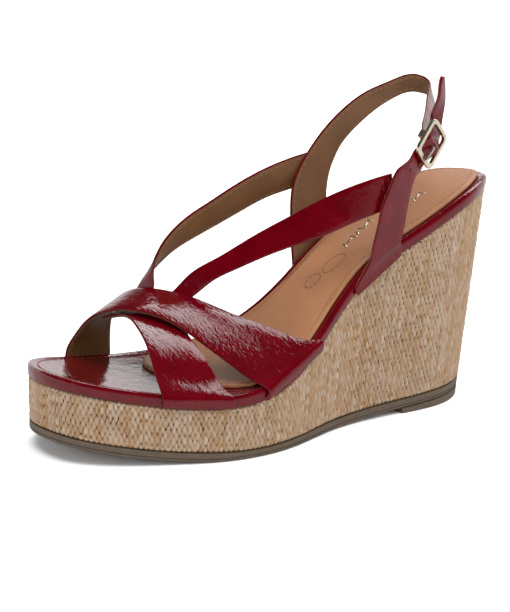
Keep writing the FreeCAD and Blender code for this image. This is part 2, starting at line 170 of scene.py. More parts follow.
def wall(t, side, grow, z):
    """The sole's leaning wall: t runs from heel to toe, side is 0 inner or 1 outer."""
    place = np.zeros((len(t), 2))
    for number, (run, p, n, _) in enumerate((inner_half, outer_half)):
        chosen = np.asarray(side) == number
        for axis in (0, 1):
            along = np.interp(t, run, p[:, axis]) + grow * np.interp(t, run, n[:, axis])
            place[chosen, axis] = along[chosen]
    x = place[:, 0] + lean_at(z) * (1 - place[:, 0] / last_length)
    return np.stack([x, place[:, 1], z + 0 * x], 1)


def on_sole(t, across, grow, surface, height):
    """A point over or under the sole: across runs from the inner wall (0) to the outer (1)."""
    t, across = np.asarray(t, float), np.asarray(across, float)
    z = np.full(len(t), 50.0)
    for _ in range(6):
        a = wall(t, np.zeros(len(t)), grow, z)
        b = wall(t, np.ones(len(t)), grow, z)
        p = a + (b - a) * across[:, None]
        z = surface(np.clip(p[:, 0], 0, last_length)) + height
    return np.stack([p[:, 0], p[:, 1], z], 1)


def on_foot(share, across, height):
    """A point over the footbed, as shares of the last's length and of the ball's half width."""
    x = share * last_length
    return np.array((x, across * ball_half_width, float(seat(x)) + height))


def rgb(code):
    """An sRGB hex colour, turned to linear."""
    parts = [int(code[i:i + 2], 16) / 255 for i in (1, 3, 5)]
    return [c / 12.92 if c <= 0.04045 else ((c + 0.055) / 1.055) ** 2.4 for c in parts] + [1.0]


def add(tree, kind, inputs=(), **settings):
    """Adds a shader node. Inputs are its sockets' values, or other nodes' sockets to link."""
    made = tree.nodes.new("ShaderNode" + kind)
    for name, value in settings.items():
        setattr(made, name, value)
    for key, value in dict(inputs).items():
        if isinstance(value, bpy.types.NodeSocket):
            tree.links.new(value, made.inputs[key])
        else:
            made.inputs[key].default_value = value
    return made


def finish_of(name, **inputs):
    """A new material: its tree and its surface shader, with the given socket values."""
    made = bpy.data.materials.new(name)
    made.use_nodes = True
    shader = made.node_tree.nodes["Principled BSDF"]
    for key, value in inputs.items():
        shader.inputs[key.replace("_", " ")].default_value = value
    return made, made.node_tree, shader


def mottled(name, tones, spots, pits=None, **inputs):
    """A finish in two tones that spots mix, in relief where pits are given. Spots and pits are each a
    texture's kind and inputs; pits end with their height in metres and their strength."""
    made, tree, shader = finish_of(name, **inputs)
    place = add(tree, "TexCoord").outputs["Object"]
    spot = add(tree, spots[0], {"Vector": place, **spots[1]}).outputs[0]
    colour = add(tree, "Mix", {"Factor": spot, "A": rgb(tones[0]), "B": rgb(tones[1])}, data_type="RGBA")
    tree.links.new(colour.outputs["Result"], shader.inputs["Base Color"])
    if pits:
        kind, settings, height, strength = pits
        pit = add(tree, kind, {"Vector": place, **settings}).outputs[0]
        relief = add(tree, "Bump", {"Height": pit, "Distance": height, "Strength": strength})
        tree.links.new(relief.outputs["Normal"], shader.inputs["Normal"])
    return made, tree, shader, spot


# Expanded foam: closed cells about 0.6 mm wide, cut open, so matt and finely pitted.
core_foam = mottled("expanded_foam", ("#C9B48F", "#B29A74"), ("TexNoise", {"Scale": 90, "Detail": 4}),
                    ("TexVoronoi", {"Scale": 1000 / 0.6}, 0.0003, 0.6), Roughness=0.85, IOR=1.45)[0]


def finish_cad(node, material):
    """A CAD node that is kept takes a finish."""
    mesh = frame["nodes"][node].data
    mesh.materials.clear()
    mesh.materials.append(material)


finish_cad("wedge_core", core_foam)

# ---- raffia cover ------------------------------------------------------------------------
# The wedge's skin: flattened raffia strands woven upright over hidden level cords, so that each
# strand shows as short leaves, half a step up from its neighbours'. A cloth backs the weave.
# It is glued round the core before the footbed closes it from above.

strand_step = 1.2            # from one upright strand to the next
strand_width = 2.2           # a leaf bulges over its neighbours, where they dive under a cord
weave_step = 4.9             # height of one leaf and its dive
leaf_crown = 0.75
leaf_dip = 1.2
backing_in = 0.85            # the backing cloth lies this far inside the cover's face
backing_thickness = 0.6
weave_in = 0.4               # the strands' middles lie this far inside the cover's face
weave_end = 0.05             # they stop this short of the outsole and the footbed
shortest_leaf = 1.2
leaf_reach = 1.1             # a leaf's length, in weave steps
uneven = 0.25                # how far a leaf strays up or down
leaf_tilt = 0.05             # how far one leans, in radians
leaf_sway = 0.07             # and strays sideways

joint = frame["joints"][0]["pos_m"]
buckle_centre = on_foot(0.213, 0.543, 38.7)
buckle_turn = math.radians(16.8)
buckle_pitch = math.radians(43.0)
u_way = np.array((-math.cos(buckle_pitch) * math.cos(buckle_turn),
                  -math.cos(buckle_pitch) * math.sin(buckle_turn), math.sin(buckle_pitch)))
n_way = np.array((-math.sin(buckle_turn), math.cos(buckle_turn), 0))
w_way = np.cross(n_way, u_way)
bar_drop = 2.0
shift = np.array(joint) * 1000 - (buckle_centre - n_way * bar_drop)


def metres(points):
    """From the last's millimetres to the frame's metres; the buckle's hinge ties the two."""
    return (np.asarray(points) + shift) / 1000


def mesh_of(name, bm):
    """A mesh made from a bmesh, which is used up."""
    mesh = bpy.data.meshes.new(name)
    bm.to_mesh(mesh)
    bm.free()
    return mesh


def as_piece(name, mesh, materials, smooth=35.0):
    """Links a finished mesh as a piece of the sandal's body."""
    made = bpy.data.objects.new(name, mesh)
    bpy.context.scene.collection.objects.link(made)
    for material in materials:
        mesh.materials.append(material)
    mesh.shade_smooth()
    mesh.set_sharp_from_angle(angle=math.radians(smooth))
    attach(made, "sandal")
    return made


def scatter(name, shape, middles, axes, sizes, tints, materials):
    """One piece of many copies of a small mesh, each with its own place, turn, size and tint."""
    count, each = len(middles), len(shape.vertices)
    points = np.array([v.co for v in shape.vertices])
    corners = np.array([loop.vertex_index for loop in shape.loops])
    starts = np.array([face.loop_start for face in shape.polygons])
    local = points[None] * sizes[:, None]
    placed = middles[:, None] + np.einsum("nvi,nij->nvj", local, axes)
    mesh = bpy.data.meshes.new(name)
    mesh.vertices.add(count * each)
    mesh.vertices.foreach_set("co", metres(placed.reshape(-1, 3)).ravel())
    mesh.loops.add(count * len(corners))
    step = np.arange(count)[:, None]
    mesh.loops.foreach_set("vertex_index", (corners[None] + step * each).ravel())
    mesh.polygons.add(count * len(starts))
    mesh.polygons.foreach_set("loop_start", (starts[None] + step * len(corners)).ravel())
    mesh.update(calc_edges=True)
    if shape.uv_layers:
        uv = np.array([c.uv for c in shape.uv_layers[0].data]).ravel()
        mesh.uv_layers.new(name="UVMap").data.foreach_set("uv", np.tile(uv, count))
    tint = mesh.attributes.new("tint", "FLOAT", "POINT")
    tint.data.foreach_set("value", np.repeat(tints, each).astype(np.float32))
    mesh.validate()
    return as_piece(name, mesh, materials, 180.0)


# Raffia: dried palm leaf, split and flattened. Satin, straw to light tan from strand to strand,
# with fibres about 0.15 mm wide along it, drawn at 0.25 mm so that they show.
raffia, tree, shader = finish_of("split_raffia", Roughness=0.55, IOR=1.46)
uv = add(tree, "UVMap", uv_map="UVMap")
tint = add(tree, "Attribute", attribute_name="tint")
stretch = add(tree, "Mapping", {"Vector": uv.outputs["UV"], "Scale": (strand_width / 0.25, 1.3, 1)})
seed = add(tree, "Math", {0: tint.outputs["Fac"], 1: 91.7}, operation="MULTIPLY")
fibres = add(tree, "TexNoise", {"Vector": stretch.outputs["Vector"], "Detail": 3, "Scale": 1.0,
                                "W": seed.outputs[0]}, noise_dimensions="4D")
straw = add(tree, "Mix", {"Factor": tint.outputs["Fac"], "A": rgb("#CC9E62"), "B": rgb("#FFF7E4")},
            data_type="RGBA")
streak = add(tree, "MapRange", {"Value": fibres.outputs["Fac"], "From Min": 0.35, "From Max": 0.72,
                                "To Min": 0.0, "To Max": 0.5})
worn = add(tree, "Mix", {"Factor": streak.outputs["Result"], "A": straw.outputs["Result"],
                         "B": rgb("#B07E48")}, data_type="RGBA")
# Each leaf's two ends, where it dives under a cord, are painted dark brown: painted shade in the tuck, over
# the fibre streaks.
along = add(tree, "SeparateXYZ", {"Vector": uv.outputs["UV"]})
from_middle = add(tree, "Math", {0: along.outputs["Y"], 1: 0.5}, operation="SUBTRACT")
off_middle = add(tree, "Math", {0: from_middle.outputs[0]}, operation="ABSOLUTE")
painted_end_shade = add(tree, "MapRange", {"Value": off_middle.outputs[0], "From Min": 0.36, "From Max": 0.5,
                              "To Min": 0.0, "To Max": 0.72})
shaded = add(tree, "Mix", {"Factor": painted_end_shade.outputs["Result"], "A": worn.outputs["Result"],
                           "B": rgb("#5C3B1C")}, data_type="RGBA")
tree.links.new(shaded.outputs["Result"], shader.inputs["Base Color"])
relief = add(tree, "Bump", {"Height": fibres.outputs["Fac"], "Distance": 0.00012, "Strength": 0.7})
tree.links.new(relief.outputs["Normal"], shader.inputs["Normal"])

# Backing cloth: coarse jute, brown with dust in its weave, seen only through the gaps.
tufts = ("TexNoise", {"Scale": 1000 / 0.9, "Detail": 3})
backing_cloth = mottled("jute_backing", ("#2A1A0D", "#5E4224"), tufts, (*tufts, 0.0003, 0.8),
                        Roughness=0.9, IOR=1.45)[0]


def wall_band(name, grow, low, high, thickness, steps_round, steps_up, materials):
    """A closed band round the sole's wall, from low over the tread to high under the seat."""
    bm = bmesh.new()
    bmesh.ops.create_grid(bm, x_segments=steps_round, y_segments=steps_up, size=1)
    verts = list(bm.verts)
    co = np.array([v.co for v in verts])
    turn = (co[:, 0] + 1) / 2
    side = (turn <= 0.5).astype(float)
    t = np.where(side > 0, turn * 2, (1 - turn) * 2)
    up = (co[:, 1] + 1) / 2
    bottom = on_sole(t, side, grow, tread, outsole_thickness + low)
    top = on_sole(t, side, grow, seat, -high)
    z = bottom[:, 2] + (top[:, 2] - bottom[:, 2]) * up
    placed = np.zeros((len(verts), 3))
    for number in (0.0, 1.0):
        chosen = side == number
        placed[chosen] = wall(t[chosen], side[chosen], grow, z[chosen])
    for v, p in zip(verts, metres(placed)):
        v.co = p
    bmesh.ops.remove_doubles(bm, verts=bm.verts, dist=1e-5)
    bmesh.ops.recalc_face_normals(bm, faces=bm.faces)
    inward = Vector(metres((last_length / 2, 0, 30)))
    face = bm.faces[:][0]
    if (face.calc_center_median() - inward).dot(face.normal) < 0:
        bmesh.ops.reverse_faces(bm, faces=bm.faces)
    bmesh.ops.solidify(bm, geom=bm.faces, thickness=thickness / 1000)
    return as_piece(name, mesh_of(name, bm), materials)


backing = wall_band("raffia_backing", -backing_in, 0.1, 0.1, backing_thickness, 220, 8, [backing_cloth])
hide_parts("raffia_cover")


def raffia_leaf():
    """One leaf of a strand: crowned across, arched along, narrow where it dives under the cords."""
    bm = bmesh.new()
    bmesh.ops.create_grid(bm, x_segments=4, y_segments=6, size=1, calc_uvs=True)
    for v in bm.verts:
        x, y = v.co.x, v.co.y
        narrow = 0.14 + 0.86 * max(0.0, 1 - abs(y) ** 1.7)
        rise = (1 - x * x) * 0.75 + 0.25
        v.co = (x * narrow / 2, y / 2, leaf_crown * rise * (1 - y * y) - leaf_dip * y ** 4 - 0.3 * x * x)
    return mesh_of("raffia_leaf", bm)


leaf = raffia_leaf()
draw = np.random.default_rng(7)
for side, (name, half) in enumerate((("raffia_weave_inner", inner_half), ("raffia_weave_outer", outer_half))):
    columns = int(round(half[3] / strand_step / 2)) * 2
    middles, axes, sizes, tints = [], [], [], []
    for column in range(columns):
        t = np.array([(column + 0.5) / columns])
        s = np.array([side])
        low = on_sole(t, s, -weave_in, tread, outsole_thickness)[0, 2]
        high = on_sole(t, s, -weave_in, seat, 0.0)[0, 2]
        offset = 0.5 * (column % 2) - 0.25
        wave = 0.35 * math.sin(column * 0.21) + 0.25 * math.sin(column * 0.083 + 2 * side)
        strand_tint = draw.uniform(0, 1)
        for row in range(int((high - low) / weave_step) + 2):
            z_low = low + (row + offset - 0.25) * weave_step + wave + draw.uniform(-uneven, uneven)
            z_high = z_low + weave_step * leaf_reach
            z_low, z_high = max(z_low, low + weave_end), min(z_high, high - weave_end)
            if z_high - z_low < shortest_leaf:
                continue
            z = np.array([z_low, z_high, (z_low + z_high) / 2])
            spots = wall(np.repeat(t, 3), np.repeat(s, 3), -weave_in, z)
            beside = wall(t + 0.002, s, -weave_in, z[2:])[0] - spots[2]
            up = unit(spots[1] - spots[0])
            across = unit(beside)
            out = unit(np.cross(across, up)) * (-1 if side else 1)
            if side:
                across = -across
            tilt = draw.normal(0, leaf_tilt)
            tilted = up * math.cos(tilt) + across * math.sin(tilt)
            across = np.cross(tilted, out)
            middles.append(spots[2] + across * draw.normal(0, leaf_sway))
            axes.append((across, tilted, out))
            sizes.append((strand_width * draw.uniform(0.74, 1.08), z_high - z_low, draw.uniform(0.75, 1.2)))
            tints.append(np.clip(0.55 * strand_tint + 0.45 * draw.uniform(0, 1), 0, 1))
    weave = scatter(name, leaf, np.array(middles), np.array(axes), np.array(sizes), np.array(tints), [raffia])
    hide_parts("raffia_cover")

# ---- outsole -----------------------------------------------------------------------------
# One moulded rubber sole, cemented under the wedge, with a rounded lower edge and a groove run
# round its side. A separate top piece of the same rubber is cemented on under the heel.

groove_depth = 0.35
groove_low = 1.35            # groove, above the tread
groove_high = 1.75


def shell(name, steps, rings, materials, front=None):
    """A closed layer over the sole. Its rings (outward reach, surface, height) lead from the first sheet
    to the last. Front, where given, tells how far along x the layer ends at a share across it."""
    bm = bmesh.new()
    run = bm.verts.layers.float.new("run")
    over = bm.verts.layers.float.new("over")

    def settle(verts, ring):
        grow, surface, height = ring
        t = np.array([v[run] for v in verts])
        share = np.array([v[over] for v in verts])
        if front is not None:
            tries = np.linspace(0, 1, 400)
            for value in np.unique(share):
                x = on_sole(tries, np.full(400, value), grow, surface, height)[:, 0]
                ends = np.interp(front(value) + grow, x, tries)
                t[share == value] *= ends
        for v, p in zip(verts, metres(on_sole(t, share, grow, surface, height))):
            v.co = p

    def sheet(ring):
        made = bmesh.ops.create_grid(bm, x_segments=steps[0], y_segments=steps[1], size=1)["verts"]
        for v in made:
            v[run], v[over] = (v.co.x + 1) / 2, (v.co.y + 1) / 2
        settle(made, ring)
        bmesh.ops.remove_doubles(bm, verts=made, dist=1e-6)

    sheet(rings[0])
    edges = [e for e in bm.edges if e.is_boundary]
    for ring in rings[1:]:
        made = bmesh.ops.extrude_edge_only(bm, edges=edges)["geom"]
        edges = [g for g in made if isinstance(g, bmesh.types.BMEdge)]
        settle([g for g in made if isinstance(g, bmesh.types.BMVert)], ring)
    sheet(rings[-1])
    bmesh.ops.remove_doubles(bm, verts=bm.verts, dist=2e-6)
    bmesh.ops.recalc_face_normals(bm, faces=bm.faces)
    return as_piece(name, mesh_of(name, bm), materials)


# Outsole rubber: moulded, grey-brown, satin, with a fine spark-eroded grain near 0.5 mm and
# scuffs along its edge.
sole_rubber, tree, shader, marks = mottled(
    "outsole_rubber", ("#3A2F24", "#5C4C3A"), ("TexNoise", {"Scale": 220, "Detail": 5, "Roughness": 0.7}),
    ("TexNoise", {"Scale": 1000 / 0.5, "Detail": 2}, 0.0001, 0.5), IOR=1.5)
wear = add(tree, "MapRange", {"Value": marks, "To Min": 0.45, "To Max": 0.7})
tree.links.new(wear.outputs["Result"], shader.inputs["Roughness"])


def worn_tread(x):
    """The tread, worn flat where it stands on the ground."""
    return np.maximum(tread(x), 0.0)


outsole = shell("outsole_moulded", (150, 16), [
    (-0.7, worn_tread, 0.0), (-0.2, worn_tread, 0.12), (0.15, worn_tread, 0.45), (0.3, worn_tread, 0.9),
    (0.3, worn_tread, groove_low), (0.3 - groove_depth, worn_tread, groove_low + 0.1),
    (0.3 - groove_depth, worn_tread, groove_high - 0.1), (0.3, worn_tread, groove_high),
    (0.3, tread, 3.7), (0.2, tread, 3.95), (0.0, tread, outsole_thickness)], [sole_rubber])
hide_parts("outsole")
finish_cad("heel_tread_pad", sole_rubber)

# ---- insole ------------------------------------------------------------------------------
# A cellulose fibreboard lies on the wedge and carries a spring-steel shank in a milled slot.
# A thin foam sheet is glued over both, under the footbed's leather.

foam_low = 2.24
foam_thickness = 1.7
board_margin = 3.4

# Fibreboard: pressed cellulose, matt, speckled with fibres near 0.8 mm long.
fibreboard = mottled("cellulose_fibreboard", ("#8A6B48", "#C2A57C"),
                     ("TexNoise", {"Scale": 1000 / 0.8, "Detail": 4}), Roughness=0.8, IOR=1.47)[0]
finish_cad("insole_board", fibreboard)

# Shank: cold-rolled spring steel, with rolling lines about 0.2 mm apart along it.
rolled_steel, tree, shader = finish_of("rolled_steel", Metallic=1.0, Base_Color=rgb("#8D9095"))
place = add(tree, "TexCoord")
stretch = add(tree, "Mapping", {"Vector": place.outputs["Object"], "Scale": (0.05, 1, 1)})
lines = add(tree, "TexNoise", {"Vector": stretch.outputs["Vector"], "Scale": 1000 / 0.2, "Detail": 2})
rough = add(tree, "MapRange", {"Value": lines.outputs["Fac"], "To Min": 0.28, "To Max": 0.5})
tree.links.new(rough.outputs["Result"], shader.inputs["Roughness"])
finish_cad("steel_shank", rolled_steel)

# Insole foam: soft open-cell latex sheet, off-white, cells near 0.5 mm.
cells = ("TexVoronoi", {"Scale": 1000 / 0.5})
latex_foam = mottled("latex_foam", ("#D8CBA9", "#F0E8D0"), cells, (*cells, 0.0002, 0.7),
                     Roughness=0.9, IOR=1.5)[0]
foam_top = foam_low + foam_thickness - 0.05
foam = shell("insole_foam_sheet", (110, 12), [
    (-board_margin - 0.3, seat, foam_low), (-board_margin - 0.05, seat, foam_low + 0.3),
    (-board_margin, seat, foam_low + 0.8), (-board_margin - 0.05, seat, foam_top - 0.3),
    (-board_margin - 0.35, seat, foam_top)], [latex_foam])
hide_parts("insole_foam")

# ---- footbed rand ------------------------------------------------------------------------
# The footbed's cover: red patent leather lasted over the foam, turned down round the edge as a
# padded rand, and glued under the board. It is bare ahead of the sock, stitched round the toe.

# Patent leather: calf with a thick red lacquer. It shines like glass, and the leather's creases,
# about 1.5 mm apart and longer along the grain, make its reflections ragged.
patent, tree, shader = finish_of("red_patent_leather", Roughness=0.08, IOR=1.5)
place = add(tree, "TexCoord")
stretch = add(tree, "Mapping", {"Vector": place.outputs["Object"], "Scale": (1.0, 0.45, 0.7)})
creases = add(tree, "TexNoise", {"Vector": stretch.outputs["Vector"], "Scale": 1000 / 1.5, "Detail": 2,
                                 "Roughness": 0.55, "Distortion": 0.4})
swells = add(tree, "TexNoise", {"Vector": place.outputs["Object"], "Scale": 1000 / 11, "Detail": 1})
dye = add(tree, "Mix", {"Factor": swells.outputs["Fac"], "A": rgb("#400006"), "B": rgb("#58010C")},
          data_type="RGBA")
tree.links.new(dye.outputs["Result"], shader.inputs["Base Color"])
broad = add(tree, "Bump", {"Height": swells.outputs["Fac"], "Distance": 0.0006, "Strength": 0.6})
fine = add(tree, "Bump", {"Height": creases.outputs["Fac"], "Distance": 0.00023, "Strength": 0.8,
                          "Normal": broad.outputs["Normal"]})
tree.links.new(fine.outputs["Normal"], shader.inputs["Normal"])

rand = shell("footbed_cover", (190, 18), [
    (-3.6, seat, 4.84), (-3.0, seat, 4.95), (-2.0, seat, 5.3), (-0.9, seat, 5.4), (0.0, seat, 5.1),
    (0.55, seat, 4.3), (0.75, seat, 3.2), (0.7, seat, 0.8), (0.55, seat, 0.1), (-3.2, seat, 0.1),
    (-3.25, seat, 3.98)], [patent])
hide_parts("footbed_rand")

# ---- sock lining -------------------------------------------------------------------------
# The soft leather that the foot stands on, glued into the dish of the footbed from the heel to
# the ball, with its front edge cut round. It is stitched a little way in from its edge.

sock_margin = 3.62
sock_low = 4.93
sock_top = 6.6
sock_front = 0.775 * last_length
sock_square = 0.61 * last_length
sock_round = 2.4             # 2 would give the front edge an ellipse's curve, more a squarer one


def sock_end(share):
    """How far forward the sock reaches, at a share across it."""
    bulge = (1 - abs(2 * share - 1) ** sock_round) ** (1 / sock_round)
    return sock_square + (sock_front - sock_square) * bulge


# Sock leather: satin sheepskin, light tan, with soft pores near 1.1 mm and handling shadows.
sock_leather = mottled("tan_sheepskin", ("#805234", "#9C6B47"), ("TexNoise", {"Scale": 60, "Detail": 5}),
                       ("TexVoronoi", {"Scale": 1000 / 1.1}, 0.00018, 0.45), Roughness=0.5, IOR=1.47)[0]

sock = shell("sock_leather_sheet", (150, 24), [
    (-sock_margin - 0.6, seat, sock_low), (-sock_margin - 0.1, seat, sock_low + 0.15),
    (-sock_margin, seat, sock_low + 0.6), (-sock_margin - 0.1, seat, sock_top - 0.45),
    (-sock_margin - 0.5, seat, sock_top - 0.12), (-sock_margin - 1.3, seat, sock_top)],
    [sock_leather], sock_end)
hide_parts("sock_lining")

# ---- vamp straps -------------------------------------------------------------------------
# Two crossed straps over the toes, each red patent leather folded round and stitched to a calf
# lining. Their ends are lasted in between the wedge and the footbed on both sides.

lining_depth = 0.98
strap_thickness = 1.58
strap_smooth = 50.0          # edges sharper than this many degrees stay sharp
rand_out = 0.7               # the rand stands proud of the weave
strap_gap = 0.25             # between a strap and what it lies on
rim_reach = rand_out + strap_gap + strap_thickness
rim_foot = 0.15              # a strap's end stands this far above the wedge's top
rim_turn = 5.0               # and leaves the rand at this height


def rim(share, side, reach, height):
    """A point beside the footbed: share along the last, side 0 inner or 1 outer."""
    run, p, n, _ = (rim_inner, rim_outer)[side]
    x = share * last_length
    order = np.maximum.accumulate(p[:, 0])
    t = np.interp(x, order, run)
    spot = [np.interp(t, run, p[:, k]) + reach * np.interp(t, run, n[:, k]) for k in (0, 1)]
    return np.array((spot[0], spot[1], float(seat(x)) + height))


def at_rim(share, side):
    """The foot of a strap's edge, and where it leaves the rand."""
    return [rim(share, side, rim_reach, rim_foot), rim(share, side, rim_reach + 0.1, rim_turn)]


over_front = (
    (0.683, 0.970, 8.8), (0.701, 0.764, 14.2), (0.720, 0.582, 20.0), (0.747, 0.313, 27.9),
    (0.772, 0.054, 32.5), (0.797, -0.219, 33.1), (0.813, -0.472, 30.7), (0.829, -0.708, 25.1),
    (0.839, -0.923, 14.8))
over_rear = (
    (0.539, 0.820, 7.7), (0.565, 0.633, 13.3), (0.595, 0.440, 20.3), (0.634, 0.193, 28.0),
    (0.672, -0.107, 34.9), (0.703, -0.386, 37.8), (0.724, -0.622, 37.6), (0.739, -0.826, 33.8),
    (0.747, -0.979, 22.7))
under_front = (
    (0.854, 0.676, 10.3), (0.845, 0.494, 18.6), (0.830, 0.258, 24.9), (0.815, 0.000, 28.5),
    (0.804, -0.236, 30.2), (0.802, -0.451, 28.7), (0.808, -0.644, 25.8))
under_rear = (
    (0.740, 0.912, 7.7), (0.743, 0.644, 17.8), (0.739, 0.322, 25.3), (0.720, 0.064, 29.0),
    (0.703, -0.193, 31.0), (0.698, -0.451, 32.0), (0.707, -0.665, 31.0))
over_outer = (0.668, 0.523)
over_inner = (0.844, 0.750)
under_outer = (0.855, 0.735)
over_lines, under_lines = [], []
for k, (over_edge, under_edge) in enumerate(((over_front, under_front), (over_rear, under_rear))):
    over_lines.append(at_rim(over_outer[k], 1) + [on_foot(*p) for p in over_edge]
                      + at_rim(over_inner[k], 0)[::-1])
    under_lines.append(at_rim(under_outer[k], 1) + [on_foot(*p) for p in under_edge])

# A strap's section, once round: share across it, inset from that edge, depth below its face.
skin_section = (
    (0, 0.0, 0.55), (0, 0.08, 0.3), (0, 0.3, 0.09), (0, 0.7, 0.0), (0.2, 0, -0.06), (0.5, 0, -0.1),
    (0.8, 0, -0.06), (1, 0.7, 0.0), (1, 0.3, 0.09), (1, 0.08, 0.3), (1, 0.0, 0.55), (1, 0.1, 0.9),
    (1, 0.5, 1.08), (1, 0.95, 1.08), (1, 1.1, 0.9), (0.5, 0, 0.88), (0, 1.1, 0.9), (0, 0.95, 1.08),
    (0, 0.5, 1.08), (0, 0.1, 0.9))
lining_section = (
    (0, 1.0, 1.0), (0.5, 0, lining_depth), (1, 1.0, 1.0), (1, 0.62, 1.1), (1, 0.6, 1.5),
    (1, 0.75, strap_thickness), (0.5, 0, strap_thickness), (0, 0.75, strap_thickness),
    (0, 0.6, 1.5), (0, 0.62, 1.1))


def strap_frame(lines):
    """A strap's length parameter, and a function for edge points and outward ways at parameters."""
    lines = [np.array(line) for line in lines]
    gaps = sum(np.linalg.norm(np.diff(line, axis=0), axis=1) for line in lines) / 2
    steps = np.concatenate([[0], np.cumsum(gaps)])
    edges = [spline(line, steps)[1] for line in lines]

    def at(t):
        (a, run_a), (b, run_b) = edges[0](t), edges[1](t)
        run = unit(run_a) + unit(run_b)
        return a, b, unit(np.cross(b - a, run)), run

    return steps[-1], at


def swept(name, lines, section, materials, steps):
    """A closed section carried along a strap's two edge lines, with its ends filled."""
    end, at = strap_frame(lines)
    bm = bmesh.new()
    count = len(section)
    bmesh.ops.create_grid(bm, x_segments=steps, y_segments=count, size=1)
    verts = list(bm.verts)
    along = np.array([(v.co.x + 1) / 2 * end for v in verts])
    slot_of = np.array([int(round((v.co.y + 1) / 2 * count)) % count for v in verts])
    section = np.array(section, float)
    share, inset, depth = section[slot_of].T
    a, b, up, _ = at(along)
    over = b - a
    sign = np.where(share < 0.5, 1.0, -1.0)
    placed = a + over * share[:, None] + unit(over) * (sign * inset)[:, None] - up * depth[:, None]
    for v, p in zip(verts, metres(placed)):
        v.co = p
    bmesh.ops.remove_doubles(bm, verts=bm.verts, dist=1e-7)
    bmesh.ops.holes_fill(bm, edges=[e for e in bm.edges if e.is_boundary], sides=0)
    bmesh.ops.recalc_face_normals(bm, faces=bm.faces)
    return as_piece(name, mesh_of(name, bm), materials, strap_smooth)


# Lining: vegetable-tanned calf, brown tan, with a fine pebble near 0.8 mm and darker handled spots.
lining_leather = mottled("tan_calf_lining", ("#4C3018", "#6E4927"), ("TexNoise", {"Scale": 80, "Detail": 4}),
                         ("TexVoronoi", {"Scale": 1000 / 0.8}, 0.00015, 0.5), Roughness=0.5, IOR=1.47)[0]


def strap(node, lines, steps=120):
    """Both layers of a strap, in the place of their CAD nodes."""
    made = []
    for layer, section, material in (("", skin_section, patent), ("_lining", lining_section, lining_leather)):
        piece = swept(node + layer + "_sewn", lines, section, [material], steps)
        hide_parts(node + layer)
        made.append(piece)
    return made


strap("vamp_strap_over", over_lines)
strap("vamp_strap_under", under_lines)

# ---- instep straps -----------------------------------------------------------------------
# Two straps that rise from the vamp over both sides of the instep. They are made as the vamp
# straps are, and sewn to them and to the quarter and heel straps where they meet.

medial_top = (
    (0.750, -0.494, 33.2), (0.724, -0.526, 34.6), (0.708, -0.533, 38.0), (0.709, -0.540, 43.5),
    (0.700, -0.548, 51.5), (0.675, -0.560, 58.2), (0.629, -0.569, 63.3), (0.580, -0.579, 63.7),
    (0.513, -0.592, 60.6), (0.461, -0.601, 55.4), (0.397, -0.605, 48.0), (0.328, -0.609, 42.0))
medial_low = (
    (0.767, -0.708, 30.2), (0.742, -0.735, 32.4), (0.725, -0.737, 34.6), (0.714, -0.730, 38.2),
    (0.693, -0.708, 43.0), (0.659, -0.678, 48.1), (0.609, -0.672, 50.1), (0.552, -0.665, 48.3),
    (0.483, -0.655, 43.0), (0.435, -0.644, 37.9), (0.379, -0.620, 31.6), (0.332, -0.592, 28.4))
lateral_top = (
    (0.728, -0.461, 34.5), (0.699, -0.356, 35.4), (0.665, -0.223, 44.0), (0.628, -0.077, 48.6),
    (0.573, 0.103, 52.4), (0.517, 0.268, 52.4), (0.458, 0.421, 49.4), (0.415, 0.517, 46.0),
    (0.367, 0.584, 42.1), (0.317, 0.601, 38.5))
lateral_low = (
    (0.716, -0.236, 33.9), (0.682, -0.163, 33.7), (0.644, -0.011, 40.5), (0.610, 0.118, 43.2),
    (0.556, 0.290, 43.4), (0.500, 0.444, 39.5), (0.448, 0.564, 34.2), (0.405, 0.629, 30.4),
    (0.362, 0.657, 26.9), (0.317, 0.635, 24.3))
medial_lines = [[on_foot(*p) for p in line] for line in (medial_low, medial_top)]
lateral_lines = [[on_foot(*p) for p in line] for line in (lateral_top, lateral_low)]
strap("medial_instep_strap", medial_lines)
strap("lateral_instep_strap", lateral_lines)

# ---- quarter strap -----------------------------------------------------------------------
# The strap that rises from the outer side, narrows, and passes through the buckle, over its
# centre bar. It has one punched hole for the prong and spare ones a spacing apart.

strap_end_width = 10.2
buckle_length = 19.5
buckle_rim = 2.0
buckle_depth = 1.6
bar_radius = 0.75
loop_clearance = 0.3
loop_leather = 0.8
swing_room = 1.02
hole_radius = 1.15
hole_reach = (-2.4, -0.8)
spare_hole_radius = 0.9
hole_spacing = 8.6
window_half = buckle_length / 2 - buckle_rim
loop_radius = bar_radius + loop_clearance + loop_leather
strap_over_bar = -bar_drop + loop_radius + 0.2 + strap_thickness
strap_under_frame = -buckle_depth / 2 - swing_room


def in_buckle(u, w, n):
    """A point in the buckle's own frame: along the strap, across it, outwards."""
    return buckle_centre + u_way * u + w_way * w + n_way * n


